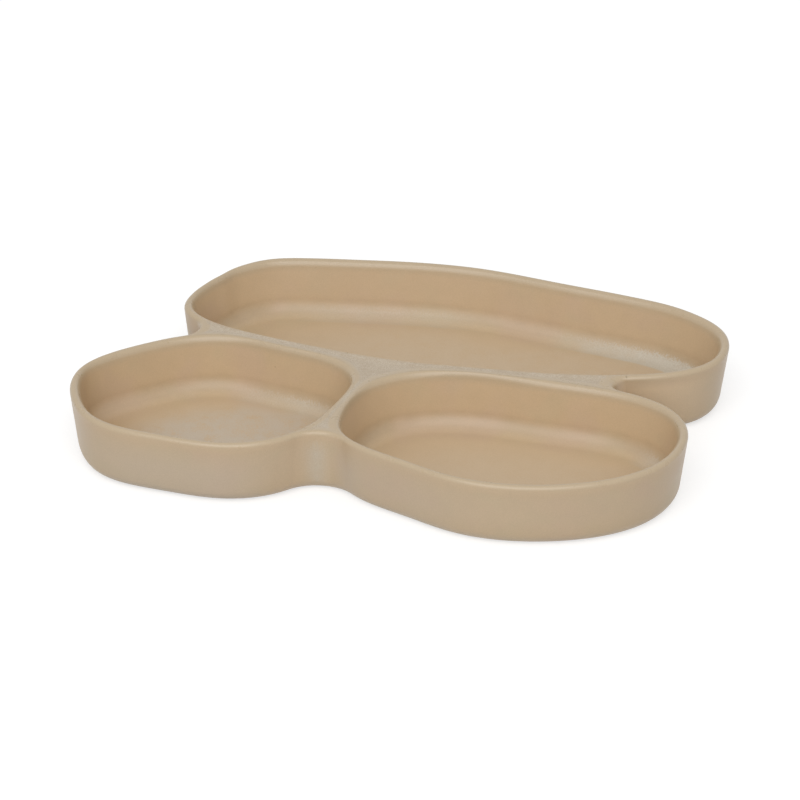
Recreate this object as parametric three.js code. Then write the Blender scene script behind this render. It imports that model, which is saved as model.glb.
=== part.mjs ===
// Snack dish: three pebble-shaped bowls with rounded lips, joined by a Y-shaped web.
// Units are mm and +Z is up. The long bowl lies along X, and the other two stand in front of it, towards -Y.
import * as THREE from "three";

// Section through every wall
const HEIGHT = 34.4;
const WALL = 5.2;
const CREST_SHARE = 0.6;
const LIP_OUTSIDE_DROP = 2.1;
const LIP_INSIDE_DROP = 4.5;
const OUTER_DRAFT = 3.2;
const INNER_DRAFT = 2.5;
const BASE_ROUND = 7;
const COVE_RADIUS = 9;
const FLOOR_THICKNESS = 6;

// Long bowl at the back: size of its mouth
const LONG_LENGTH = 265.1;
const LONG_WIDTH = 96.1;

// Soft swells and dents of the long bowl: share of the way round from its right end, how far out, and spread
const LONG_SWELLS = [
  { at: 0.109, out: 0.9, spread: 0.026 },
  { at: 0.188, out: -0.6, spread: 0.03 },
  { at: 0.25, out: 1.3, spread: 0.032 },
  { at: 0.318, out: -1, spread: 0.026 },
  { at: 0.374, out: 1.7, spread: 0.022 },
  { at: 0.434, out: -1, spread: 0.022 },
  { at: 0.522, out: -0.55, spread: 0.02 },
];

// Left bowl at the front: size of its mouth and its turn in degrees
const LEFT_LENGTH = 131.4;
const LEFT_WIDTH = 101.1;
const LEFT_TURN = 17.1;

// Right bowl at the front: size of its mouth, its turn, and how far along X it stands from the long bowl's middle
const RIGHT_LENGTH = 161.2;
const RIGHT_WIDTH = 102.9;
const RIGHT_TURN = 10.65;
const RIGHT_SHIFT = 45.65;

// Clay between two mouths where they come closest
const LONG_LEFT_NECK = 8.9;
const LONG_RIGHT_NECK = 7.6;
const LEFT_RIGHT_NECK = 6.35;

// Web: its share of a neck, its deck below the lips, its horns' least thickness, and its valleys' radii
const WEB_NECK = 2;
const DECK_DROP = 0.5;
const HORN_THICKNESS = 0.6;
const LEFT_VALLEY_RADIUS = 11;
const FRONT_VALLEY_RADIUS = 18;
const RIGHT_VALLEY_RADIUS = 6.5;
const CLEARANCE = 0.3;

// Stretches where a wall is thinner: the way it faces in degrees, and what it loses on each side
const THIN_SPREAD = 22;
const LONG_THIN = [{ facing: 158, inside: 1.8, outside: 0 }];
const LEFT_THIN = [{ facing: 163, inside: 1.5, outside: 0 }];
const RIGHT_THIN = [
  { facing: 45, inside: 0.5, outside: 0 },
  { facing: -125, inside: 0, outside: 0.8 },
];

// Stretches where the outside of a wall leans in further: the way it faces in degrees, and how much at its foot
const LEAN_SPREAD = 40;
const LONG_LEAN = [{ facing: -10, foot: 1.2 }];
const LEFT_LEAN = [{ facing: 190, foot: 0.4 }];
const RIGHT_LEAN = [{ facing: -15, foot: 0.9 }];

// Waves that turn an ellipse into a pebble, as shares of its radius
const LONG_WAVES = {
  lean: -0.028,
  taper: 0.021,
  sag: -0.017,
  boxy: 0.02,
  twist: 0.019,
  fiveSided: -0.002,
  fiveTwist: -0.006,
  sixSided: -0.008,
  sixTwist: 0.005,
};
const LEFT_WAVES = {
  lean: -0.033,
  taper: -0.004,
  sag: 0.015,
  boxy: -0.019,
  twist: 0.022,
  fiveSided: 0.018,
  fiveTwist: 0.013,
  sixSided: -0.01,
  sixTwist: 0.002,
};
const RIGHT_WAVES = {
  lean: -0.106,
  taper: 0.018,
  sag: 0.029,
  boxy: 0.003,
  twist: 0.027,
  fiveSided: -0.012,
  fiveTwist: -0.011,
  sixSided: 0.005,
  sixTwist: 0.005,
};

// Facets
const OUTLINE_POINTS = 144;
const ARC_POINTS = 14;
const SETTLE_ROUNDS = 80;

const STONEWARE = 0xbda684;

const radians = THREE.MathUtils.degToRad;

// Mouth of a bowl, counter-clockwise about the origin: waves swell a circle, which is stretched and turned.
function pebble(length, width, turn, waves) {
  const points = [];
  for (let i = 0; i < OUTLINE_POINTS; i++) {
    const t = (2 * Math.PI * i) / OUTLINE_POINTS;
    const radius =
      1 +
      waves.lean * Math.sin(2 * t) +
      waves.taper * Math.cos(3 * t) +
      waves.sag * Math.sin(3 * t) -
      waves.boxy * Math.cos(4 * t) +
      waves.twist * Math.sin(4 * t) +
      waves.fiveSided * Math.cos(5 * t) +
      waves.fiveTwist * Math.sin(5 * t) +
      waves.sixSided * Math.cos(6 * t) +
      waves.sixTwist * Math.sin(6 * t);
    points.push(new THREE.Vector2(radius * Math.cos(t), radius * Math.sin(t)));
  }
  const box = new THREE.Box2().setFromPoints(points);
  const size = box.getSize(new THREE.Vector2());
  const middle = box.getCenter(new THREE.Vector2());
  const stretch = new THREE.Vector2(length / size.x, width / size.y);
  const origin = new THREE.Vector2();
  return points.map((p) => p.sub(middle).multiply(stretch).rotateAround(origin, radians(turn)));
}

function normalsOf(outline) {
  const count = outline.length;
  return outline.map((p, i) => {
    const along = outline[(i + 1) % count].clone().sub(outline[(i + count - 1) % count]);
    return new THREE.Vector2(along.y, -along.x).normalize();
  });
}

// The same outline with its swells and dents.
function swollen(outline, swells) {
  const normals = normalsOf(outline);
  return outline.map((p, i) => {
    const share = i / outline.length;
    const outs = swells.map(({ at, out, spread }) => out * Math.exp(-(((share - at) / spread) ** 2)));
    return p.clone().addScaledVector(normals[i], outs.reduce((sum, out) => sum + out, 0));
  });
}

function distanceToOutline(point, outline) {
  let nearest = Infinity;
  for (let i = 0; i < outline.length; i++) {
    const a = outline[i];
    const b = outline[(i + 1) % outline.length];
    const along = b.clone().sub(a);
    const share = THREE.MathUtils.clamp(point.clone().sub(a).dot(along) / along.lengthSq(), 0, 1);
    nearest = Math.min(nearest, point.distanceTo(a.clone().addScaledVector(along, share)));
  }
  return nearest;
}

function gapBetween(a, b) {
  const oneWay = (p, q) => Math.min(...p.map((point) => distanceToOutline(point, q)));
  return Math.min(oneWay(a, b), oneWay(b, a));
}

// Moves an outline along each direction in turn until it stands at the wanted gap from each neighbour.
function settle(outline, start, contacts) {
  outline.forEach((p) => p.add(start));
  for (let round = 0; round < SETTLE_ROUNDS; round++) {
    for (const { neighbour, direction, gap } of contacts) {
      const step = gapBetween(outline, neighbour) - gap;
      outline.forEach((p) => p.addScaledVector(direction, step));
    }
  }
  return outline;
}

const BACK = new THREE.Vector2(0, 1);
const RIGHT = new THREE.Vector2(1, 0);

const longMouth = swollen(pebble(LONG_LENGTH, LONG_WIDTH, 0, LONG_WAVES), LONG_SWELLS);
const rightMouth = settle(
  pebble(RIGHT_LENGTH, RIGHT_WIDTH, RIGHT_TURN, RIGHT_WAVES),
  new THREE.Vector2(RIGHT_SHIFT, -LONG_WIDTH - RIGHT_WIDTH),
  [{ neighbour: longMouth, direction: BACK, gap: LONG_RIGHT_NECK }],
);
const leftMouth = settle(
  pebble(LEFT_LENGTH, LEFT_WIDTH, LEFT_TURN, LEFT_WAVES),
  new THREE.Vector2(RIGHT_SHIFT - RIGHT_LENGTH, -LONG_WIDTH - LEFT_WIDTH / 2),
  [
    { neighbour: longMouth, direction: BACK, gap: LONG_LEFT_NECK },
    { neighbour: rightMouth, direction: RIGHT, gap: LEFT_RIGHT_NECK },
  ],
);

// What a wall loses on its inside or outside or at its foot, from the way it faces.
function lossAt(normal, stretches, side, spread) {
  const facing = THREE.MathUtils.radToDeg(normal.angle());
  let total = 0;
  for (const stretch of stretches) {
    const away = THREE.MathUtils.euclideanModulo(facing - stretch.facing + 180, 360) - 180;
    total += stretch[side] * Math.exp(-((away / spread) ** 2));
  }
  return total;
}

// A bowl's plan: its mouth, the outward normals, the wall, which thins near a neighbour, and the wall's draft.
function planOf(opening, neighbours, thins, leans) {
  const normals = normalsOf(opening);
  const widened = normals.map((normal) => lossAt(normal, thins, "inside", THIN_SPREAD));
  const mouth = opening.map((p, i) => p.clone().addScaledVector(normals[i], widened[i]));
  const walls = opening.map((p, i) => {
    const room = Math.min(...neighbours.map((other) => distanceToOutline(p, other)));
    const full = Math.min(WALL, (room - WEB_NECK) / 2);
    return full - widened[i] - lossAt(normals[i], thins, "outside", THIN_SPREAD);
  });
  const drafts = normals.map((normal) => OUTER_DRAFT + lossAt(normal, leans, "foot", LEAN_SPREAD));
  const outline = mouth.map((p, i) => p.clone().addScaledVector(normals[i], walls[i]));
  return { mouth, normals, walls, drafts, outline };
}

const longPlan = planOf(longMouth, [leftMouth, rightMouth], LONG_THIN, LONG_LEAN);
const leftPlan = planOf(leftMouth, [rightMouth, longMouth], LEFT_THIN, LEFT_LEAN);
const rightPlan = planOf(rightMouth, [longMouth, leftMouth], RIGHT_THIN, RIGHT_LEAN);

// Levels of the section: each gives, for a wall and its draft, how far out from the mouth it lies and how high.
const LIP_START = HEIGHT - LIP_OUTSIDE_DROP;
const baseLevel = (angle) => (wall, draft) => {
  const height = BASE_ROUND * (1 - Math.cos(angle));
  const lean = draft * (1 - height / LIP_START);
  return { out: wall - lean - BASE_ROUND * (1 - Math.sin(angle)), height };
};
const lipLevel = (angle) => (wall) => {
  const isOutside = angle <= Math.PI / 2;
  const drop = ((isOutside ? LIP_OUTSIDE_DROP : LIP_INSIDE_DROP) * wall) / WALL;
  const reach = wall * (isOutside ? 1 - CREST_SHARE : CREST_SHARE);
  return { out: wall * CREST_SHARE + reach * Math.cos(angle), height: HEIGHT - drop * (1 - Math.sin(angle)) };
};
const deckLevel = (share) => (wall) => {
  const drop = (LIP_OUTSIDE_DROP * wall) / WALL;
  return lipLevel(share * Math.asin(1 - DECK_DROP / drop))(wall);
};
const coveLevel = (angle) => () => ({
  out: -INNER_DRAFT - COVE_RADIUS * (1 - Math.cos(angle)),
  height: FLOOR_THICKNESS + COVE_RADIUS * (1 - Math.sin(angle)),
});

const inDegrees = (level, angles) => angles.map((angle) => level(radians(angle)));
const BASE_LEVELS = inDegrees(baseLevel, [0, 30, 60, 90]);
const LIP_LEVELS = inDegrees(lipLevel, [0, 30, 60, 90, 120, 150, 180]);
const COVE_LEVELS = inDegrees(coveLevel, [0, 30, 60, 90]);
const DECK_LEVELS = [0, 0.5, 1].map(deckLevel);

function ringOfBowl(plan, level) {
  return plan.mouth.map((p, i) => {
    const { out, height } = level(plan.walls[i], plan.drafts[i]);
    const at = p.clone().addScaledVector(plan.normals[i], out);
    return new THREE.Vector3(at.x, at.y, height);
  });
}

// Closed body through a stack of rings with equal counts, flat at its first and last ring.
function bodyOf(rings) {
  const count = rings[0].length;
  const positions = rings.flat().flatMap((p) => [p.x, p.y, p.z]);
  const faces = [];
  for (let k = 0; k + 1 < rings.length; k++) {
    for (let i = 0; i < count; i++) {
      const a = k * count + i;
      const b = k * count + ((i + 1) % count);
      faces.push(a, b, b + count, a, b + count, a + count);
    }
  }
  const capOf = (ring) => THREE.ShapeUtils.triangulateShape(ring.map((p) => new THREE.Vector2(p.x, p.y)), []);
  const last = (rings.length - 1) * count;
  capOf(rings[0]).forEach(([a, b, c]) => faces.push(a, c, b));
  capOf(rings.at(-1)).forEach(([a, b, c]) => faces.push(last + a, last + b, last + c));
  const geometry = new THREE.BufferGeometry();
  geometry.setAttribute("position", new THREE.Float32BufferAttribute(positions, 3));
  geometry.setIndex(faces);
  geometry.computeVertexNormals();
  return geometry;
}

function bowlBody(plan) {
  const levels = [...BASE_LEVELS, ...LIP_LEVELS, ...COVE_LEVELS];
  return bodyOf(levels.map((level) => ringOfBowl(plan, level)));
}

// Where two closed outlines cross.
function crossings(outlineA, outlineB) {
  const edgesOf = (points) => points.map((p, i) => [p, points[(i + 1) % points.length].clone().sub(p)]);
  const found = [];
  for (const [a, alongA] of edgesOf(outlineA)) {
    for (const [b, alongB] of edgesOf(outlineB)) {
      const apart = b.clone().sub(a);
      const turn = alongA.cross(alongB);
      const shareA = apart.cross(alongB) / turn;
      const shareB = apart.cross(alongA) / turn;
      const isOnBoth = shareA >= 0 && shareA < 1 && shareB >= 0 && shareB < 1;
      if (isOnBoth) found.push(a.clone().addScaledVector(alongA, shareA));
    }
  }
  return found;
}

// Circle that touches two bowls from outside, on the side away from the third one.
function valleyBetween(planA, planB, planAway, radius) {
  const grown = ({ outline, normals }) => outline.map((p, i) => p.clone().addScaledVector(normals[i], radius));
  const room = (p) => distanceToOutline(p, planAway.outline);
  const centre = crossings(grown(planA), grown(planB)).reduce((best, p) => (room(p) > room(best) ? p : best));
  return { centre, radius };
}

const leftValley = valleyBetween(longPlan, leftPlan, rightPlan, LEFT_VALLEY_RADIUS);
const frontValley = valleyBetween(leftPlan, rightPlan, longPlan, FRONT_VALLEY_RADIUS);
const rightValley = valleyBetween(rightPlan, longPlan, leftPlan, RIGHT_VALLEY_RADIUS);
const webMiddle = new THREE.Vector2();
[leftValley, frontValley, rightValley].forEach(({ centre }) => webMiddle.addScaledVector(centre, 1 / 3));

// Stretch of a bowl's outline that faces the web, clockwise, ending where a valley leaves room for a horn of clay.
function stretchOf(plan, valleys) {
  const count = plan.outline.length;
  const horn = CLEARANCE + HORN_THICKNESS;
  const isFree = (i) => valleys.every(({ centre, radius }) => plan.outline[i].distanceTo(centre) > radius + horn);
  let middle = 0;
  plan.outline.forEach((p, i) => {
    if (p.distanceTo(webMiddle) < plan.outline[middle].distanceTo(webMiddle)) middle = i;
  });
  let first = middle;
  while (isFree((first + 1) % count)) first = (first + 1) % count;
  const stretch = [first];
  while (isFree((stretch.at(-1) + count - 1) % count)) stretch.push((stretch.at(-1) + count - 1) % count);
  return stretch;
}

const webSides = [
  { plan: longPlan, valley: leftValley, before: rightValley },
  { plan: leftPlan, valley: frontValley, before: leftValley },
  { plan: rightPlan, valley: rightValley, before: frontValley },
].map((side) => ({ ...side, stretch: stretchOf(side.plan, [side.valley, side.before]) }));

// One ring of the web: along each bowl at the clearance, then round the valley to the next bowl.
function ringOfWeb(level) {
  return webSides.flatMap(({ plan, valley, stretch }, k) => {
    const next = webSides[(k + 1) % webSides.length];
    const alongBowl = stretch.map((i) => {
      const { out, height } = level(plan.walls[i], plan.drafts[i]);
      const at = plan.mouth[i].clone().addScaledVector(plan.normals[i], out + CLEARANCE);
      return new THREE.Vector3(at.x, at.y, height);
    });
    const angleTo = (p) => Math.atan2(p.y - valley.centre.y, p.x - valley.centre.x);
    const from = angleTo(plan.outline[stretch.at(-1)]);
    const full = angleTo(next.plan.outline[next.stretch[0]]) - from;
    const sweep = full - 2 * Math.PI * Math.round(full / (2 * Math.PI));
    const { out, height } = level(WALL, OUTER_DRAFT);
    const radius = valley.radius + WALL - out;
    const roundValley = [];
    for (let i = 0; i <= ARC_POINTS; i++) {
      const angle = from + (sweep * i) / ARC_POINTS;
      const x = valley.centre.x + radius * Math.cos(angle);
      const y = valley.centre.y + radius * Math.sin(angle);
      roundValley.push(new THREE.Vector3(x, y, height));
    }
    return [...alongBowl, ...roundValley];
  });
}

const webBody = bodyOf([...BASE_LEVELS, ...DECK_LEVELS].map(ringOfWeb));

const dish = new THREE.Group();
dish.name = "snack_dish";

function addPiece(name, geometry, roughness) {
  const material = new THREE.MeshStandardMaterial({ color: STONEWARE, roughness, metalness: 0 });
  const mesh = new THREE.Mesh(geometry, material);
  mesh.name = name;
  dish.add(mesh);
}

addPiece("long_bowl", bowlBody(longPlan), 0.45);
addPiece("left_bowl", bowlBody(leftPlan), 0.45);
addPiece("right_bowl", bowlBody(rightPlan), 0.45);
addPiece("joining_web", webBody, 0.5);

// The origin lies under the middle of the whole dish, on the table.
const middle = new THREE.Box3().setFromObject(dish).getCenter(new THREE.Vector3());
dish.children.forEach((mesh) => mesh.geometry.translate(-middle.x, -middle.y, 0));

export default dish;
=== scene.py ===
"""Looks of the snack dish: three glazed stoneware bowls and the web that joins them."""

import math

import bmesh
import bpy
import numpy as np
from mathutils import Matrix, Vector
from mathutils.geometry import delaunay_2d_cdt


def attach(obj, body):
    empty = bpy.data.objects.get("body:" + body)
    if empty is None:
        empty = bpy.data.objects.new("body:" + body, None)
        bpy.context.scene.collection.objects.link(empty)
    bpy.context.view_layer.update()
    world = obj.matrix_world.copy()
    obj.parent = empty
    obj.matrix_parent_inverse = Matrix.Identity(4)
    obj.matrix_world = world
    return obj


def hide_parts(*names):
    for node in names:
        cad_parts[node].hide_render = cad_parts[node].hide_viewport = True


MM = 0.001

# Section through every wall, in metres
HEIGHT = 34.4 * MM
LIP_WIDTH = 5.2 * MM
CREST_SHARE = 0.6
LIP_OUTSIDE_DROP = 2.1 * MM
LIP_INSIDE_DROP = 4.5 * MM
LIP_INSIDE_SWEEP = math.radians(76.5)
OUTER_DRAFT = 3.2 * MM
INNER_DRAFT = 2.5 * MM
BASE_ROUND = 7.0 * MM
COVE_RADIUS = 9.0 * MM
FLOOR_THICKNESS = 6.0 * MM
FLOOR_DISH = 0.3 * MM
LIP_POINTS = 15
COVE_POINTS = 17
BASE_POINTS = 11
WALL_POINTS = 9
FLOOR_POINTS = 9
UNDERSIDE_POINTS = 5

# Web between the bowls. Its crest stands a hair above theirs, so the two skins don't share a surface.
WEB_NECK = 2.0 * MM
DECK_DROP = 0.5 * MM
DECK_REACH = 1.7
FROST_FADE = 1.0
VALLEY_FROST = 0.8
DECK_SPACING = 1.1 * MM
CREST_STEP = 0.02 * MM
CREST_INSIDE = 0.5
WALL_SOFTNESS = 0.35 * MM
VALLEY_DROP = 4.2 * MM
VALLEY_POINTS = 70

# Sizes of a bowl's section, by the names of the inputs of its tree
SECTION_SIZES = {
    "Height": HEIGHT - CREST_STEP,
    "Lip width": LIP_WIDTH,
    "Crest share": CREST_SHARE,
    "Lip outside drop": LIP_OUTSIDE_DROP,
    "Lip inside drop": LIP_INSIDE_DROP,
    "Outer draft": OUTER_DRAFT,
    "Inner draft": INNER_DRAFT,
    "Base round": BASE_ROUND,
    "Cove radius": COVE_RADIUS,
    "Floor thickness": FLOOR_THICKNESS,
    "Floor dish": FLOOR_DISH,
}

# Pale run of glaze down a valley, in shares of the way round it
STREAK_MIDDLE = 0.43
STREAK_SPREAD = 0.2

# Spread in degrees of the stretches where a wall is thinner, leans in further, has painted light or
# shade, or has ashen glaze
THIN_SPREAD = 22.0
LEAN_SPREAD = 40.0
PAINTED_LIGHT_SHADE_AND_ASH_SPREAD = 32.0

# Mouths: centre, length and width, turn in degrees, and the waves that make an ellipse a pebble.
# swells: soft swells and dents of the wall, as (share of the way round, spread, how far out).
# Cove glaze: where pale glaze has gathered in the cove, with a painted sheen of the light along it, as
# (share of the way round, spread, strength).
# bloom: how greyish the glaze is over the floor.
# frost: how far from the crest the frosted deck starts, in half wall widths.
# thin_inside, thin_outside: where the wall is thinner on that side, as (way it faces in degrees, loss).
# lean: where the outside leans in further, as (way it faces, how much at its foot).
# Painted shade inside: where the inner wall is painted darker as shade, or paler as painted light for a
# negative share, as (way it faces, share).
# Painted light outside: where the outer wall is painted warmer and paler as light in a hollow, or the
# glaze is ashen for a negative share, as (way it faces, share).
BOWLS = {
    "long_bowl": {
        "centre": (17.34 * MM, 51.583 * MM),
        "size": (265.1 * MM, 96.1 * MM),
        "turn": 0.0,
        "slant": -0.028,
        "taper": 0.021,
        "sag": -0.017,
        "boxy": 0.02,
        "twist": 0.019,
        "five_sided": -0.002,
        "five_twist": -0.006,
        "six_sided": -0.008,
        "six_twist": 0.005,
        "swells": [
            (0.109, 0.026, 0.9 * MM),
            (0.188, 0.03, -0.6 * MM),
            (0.25, 0.032, 1.3 * MM),
            (0.318, 0.026, -1.0 * MM),
            (0.374, 0.022, 1.7 * MM),
            (0.434, 0.022, -1.0 * MM),
            (0.522, 0.02, -0.55 * MM),
        ],
        "pools": [(0.085, 0.042, 0.4), (0.115, 0.064, 0.85), (0.30, 0.05, 0.28)],
        "bloom": 0.25,
        "frost": -0.5,
        "thin_inside": [(158.0, 1.8 * MM)],
        "thin_outside": [],
        "lean": [(-10.0, 1.2 * MM)],
        "deep": [(180.0, 0.2), (100.0, -0.28)],
        "warm": [(-85.0, 0.92)],
    },
    "left_bowl": {
        "centre": (-83.435 * MM, -42.908 * MM),
        "size": (131.4 * MM, 101.1 * MM),
        "turn": 17.1,
        "slant": -0.033,
        "taper": -0.004,
        "sag": 0.015,
        "boxy": -0.019,
        "twist": 0.022,
        "five_sided": 0.018,
        "five_twist": 0.013,
        "six_sided": -0.01,
        "six_twist": 0.002,
        "swells": [],
        "pools": [(0.06, 0.06, 0.5), (0.15, 0.06, 0.35)],
        "bloom": 1.0,
        "frost": 0.2,
        "thin_inside": [(163.0, 1.5 * MM)],
        "thin_outside": [],
        "lean": [(190.0, 0.4 * MM)],
        "deep": [(180.0, 0.8)],
        "warm": [(-30.0, 0.3), (-88.0, -0.5)],
    },
    "right_bowl": {
        "centre": (62.99 * MM, -50.228 * MM),
        "size": (161.2 * MM, 102.9 * MM),
        "turn": 10.65,
        "slant": -0.106,
        "taper": 0.018,
        "sag": 0.029,
        "boxy": 0.003,
        "twist": 0.027,
        "five_sided": -0.012,
        "five_twist": -0.011,
        "six_sided": 0.005,
        "six_twist": 0.005,
        "swells": [],
        "pools": [(0.03, 0.05, 0.45)],
        "bloom": 0.15,
        "frost": 0.8,
        "thin_inside": [(45.0, 0.5 * MM)],
        "thin_outside": [(-125.0, 0.8 * MM)],
        "lean": [(-15.0, 0.9 * MM)],
        "deep": [(0.0, 0.2)],
        "warm": [(-145.0, -0.55)],
    },
}

# Valleys where the web runs down to the table, and about where the centre of each lies.
# run: how strongly pale glaze has run down it.
# Painted light: how strongly a warmer, paler light is painted into its middle.
# soft: how far its lip is rounded down.
VALLEYS = [
    {
        "bowls": ("long_bowl", "left_bowl"),
        "radius": 11.0 * MM,
        "centre": (-117.5 * MM, 15.15 * MM),
        "run": 0.5,
        "warm": 0.15,
        "soft": 0.0,
    },
    {
        "bowls": ("left_bowl", "right_bowl"),
        "radius": 18.0 * MM,
        "centre": (-23.17 * MM, -92.21 * MM),
        "run": 0.72,
        "warm": 0.12,
        "soft": 0.0,
    },
    {
        "bowls": ("right_bowl", "long_bowl"),
        "radius": 6.5 * MM,
        "centre": (112.26 * MM, 1.81 * MM),
        "run": 0.1,
        "warm": 0.92,
        "soft": 0.7,
    },
]

# Glaze colours, as a screen shows them
LIP_SAND = (182, 163, 135)
WARM_RIM = (190, 167, 137)
OUTER_SAND = (190, 168, 139)
FOOT_SAND = (187, 165, 135)
# Painted light at the foot, paler where the base rounds under into shade
FOOT_PAINTED_LIGHT = (203, 183, 156)
FOOT_ASH = (184, 170, 152)
INNER_SAND = (193, 168, 135)
# Painted shade and painted light for the inner walls
INNER_PAINTED_SHADE = (181, 154, 119)
INNER_PAINTED_LIGHT = (199, 177, 150)
COVE_SAND = (179, 157, 127)
FLOOR_EDGE = (191, 168, 136)
FLOOR_SAND = (195, 171, 139)
FLOOR_GREY = (190, 176, 157)
# Pale glaze in the coves and valleys; in the coves it also stands in for a painted sheen of the light
POOL_AND_SHEEN_GREY = (181, 171, 154)
POOL_AND_SHEEN_PALE = (195, 187, 172)
DECK_DIM = (174, 157, 134)
DECK_PALE = (188, 175, 156)
ROSE_CLOUD = (190, 164, 140)
MOSS_CLOUD = (182, 168, 137)
# Painted warmer light in the shaded hollows of the valleys and the notch
PAINTED_WARM_LIGHT = (213, 187, 153)
SPECK_BROWN = (122, 98, 72)
BARE_CLAY = (172, 148, 120)

# Bands of the glaze from the table up, in millimetres
OUTER_BANDS = [
    # The lowest stop is painted light, lifting the shade where the base rounds under
    (0.0, FOOT_PAINTED_LIGHT),
    (6.0, FOOT_SAND),
    (15.0, OUTER_SAND),
    (26.0, OUTER_SAND),
    (29.6, WARM_RIM),
    (32.0, WARM_RIM),
    (33.6, LIP_SAND),
    (34.4, LIP_SAND),
]
INNER_BANDS = [
    (5.6, FLOOR_EDGE),
    (6.2, FLOOR_EDGE),
    (8.2, COVE_SAND),
    (10.5, COVE_SAND),
    (15.5, INNER_SAND),
    (28.5, INNER_SAND),
    (32.6, LIP_SAND),
    (34.4, LIP_SAND),
]

# Heights between which a finish starts or ends on the walls
CLOUD_TOP = (28.0 * MM, 32.0 * MM)
# Painted light outside fades out between these heights
PAINTED_LIGHT_TOP = (26.0 * MM, 32.0 * MM)
ASH_TOP = (14.0 * MM, 32.0 * MM)
# Painted shade and light inside fade out at these heights
PAINTED_SHADE_TOP = (28.0 * MM, 33.0 * MM)
PAINTED_LIGHT_FOOT = (9.0 * MM, 15.0 * MM)
POOL_TOP = (FLOOR_THICKNESS + 2.3 * MM, FLOOR_THICKNESS + 4.9 * MM)
RUN_FOOT = (1.0 * MM, 8.0 * MM)
RUN_TOP = (22.0 * MM, 31.0 * MM)
GLOSS_FOOT = (29.0 * MM, 33.0 * MM)
CLAY_TOP = (0.05 * MM, 0.4 * MM)

# The same on a floor, in shares of the way from the cove to the middle
POOL_END = (0.0, 0.04)
FLOOR_START = (0.0, 0.22)
PAINTED_SHADE_END = (0.05, 0.6)
BLOOM_START = (0.05, 0.6)

# Noise in the glaze: how fine it is, and between which values of it a finish comes in
CLOUD_SCALE = 34.0
MOSS_SCALE = 46.0
MOSS_SHIFT = (0.31, 0.17, 0.0)
BLOTCH_SCALE = 130.0
PEEL_SCALE = 420.0
HAIR_SCALE = 1300.0
HAIR_STRETCH = 0.16
GRAIN_SCALE = 1500.0
DUST_SCALE = 2600.0
SPECK_SCALE = 95.0
SOFT_DETAIL = 2.0
FINE_DETAIL = 1.0
INSIDE_RANGE = (0.3, 0.7)
ROSE_RANGE = (0.48, 0.68)
MOSS_RANGE = (0.5, 0.7)
BLOOM_RANGE = (0.1, 0.6)
DECK_RANGE = (0.1, 0.9)
SPARKLE_RANGE = (0.35, 0.65)
SPECK_CHANCE = (0.8, 0.82)
SPECK_EDGE = (0.02, 0.045)

# How strongly each finish shows
ROSE_STRENGTH = 0.4
MOSS_STRENGTH = 0.2
SPECK_STRENGTH = 0.6
BAND_WANDER = 2.0 * MM
POOL_BLOOM = 0.7
POOL_FRAY = 6.5 * MM
POOL_FULLNESS = 0.9
POOL_GRAIN = 0.5
RUN_FRAY = 9.0 * MM
RUN_NARROWING = 0.7
DECK_RAGGEDNESS = 0.4
MOTTLE_GRAIN = 0.6
MOTTLE_DUST = 0.4
MOTTLE_BLOTCHES = 0.3
DUST_SHADE = 0.15
GRAIN_SHADE = 0.1
BLOTCH_SHADE = 0.06

# Gloss and relief
ROUGHNESS = 0.4
BLOTCH_ROUGHNESS = 0.14
FROST_ROUGHNESS = 0.1
CLAY_ROUGHNESS = 0.4
LIP_SMOOTHNESS = 0.11
RELIEF_STRENGTH = 0.16
RELIEF_DEPTH = 0.06 * MM
GRAIN_RELIEF = 0.35

# Camera and light
CAMERA_AIM = (-5.581 * MM, 21.985 * MM, 0.0)
CAMERA_AZIMUTH = 11.88
CAMERA_ELEVATION = 30.0
CAMERA_DISTANCE = 2.1786
CAMERA_LENS = 196.07
CAMERA_SENSOR = 36.0
CAMERA_REACH = 50.0
KEY_AZIMUTH = 3.0
KEY_ELEVATION = 44.0
KEY_DISTANCE = 2.6
KEY_SIZE = 2.6
KEY_ENERGY = 45.0
SKY_STRENGTH = 0.6
TABLE_HALF = 4.0
TABLE_LEVEL = -0.1 * MM
TABLE_BOUNCE = 0.55
TABLE_SHADED = 0.5
TABLE_GLOW = 0.6

# Points round a mouth and along the web's edge, and gaps that are welded shut
POINTS_ROUND = 360
POINTS_DENSE = 1440
SIDE_POINTS_ROUND = 700
SIDE_POINTS_LEAST = 40
GRID_CLEARANCE = 0.55
STRIP_GAP = 0.004 * MM
WELD_GAP = 0.002 * MM

# Search for where a valley touches its two bowls
CENTRE_ROUNDS = 30
SHARE_ROUNDS = 4
SHARE_POINTS = 81
SHARE_ZOOM = 20

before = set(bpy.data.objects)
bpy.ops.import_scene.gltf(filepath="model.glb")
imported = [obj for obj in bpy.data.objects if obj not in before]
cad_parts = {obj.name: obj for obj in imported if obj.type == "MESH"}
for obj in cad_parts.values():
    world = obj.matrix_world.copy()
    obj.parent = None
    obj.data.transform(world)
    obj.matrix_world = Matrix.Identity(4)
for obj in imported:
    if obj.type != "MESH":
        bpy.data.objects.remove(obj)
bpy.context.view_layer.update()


def linear(colour):
    """Colour as a shader reads it, from the 0 to 255 values that a screen shows."""
    shares = [value / 255 for value in colour]
    curve = [s / 12.92 if s <= 0.04045 else ((s + 0.055) / 1.055) ** 2.4 for s in shares]
    return (*curve, 1.0)


def grey(value):
    return (value, value, value, 1.0)


def smooth_step(low, high, value):
    share = np.clip((value - low) / (high - low), 0, 1)
    return share * share * (3 - 2 * share)


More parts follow.
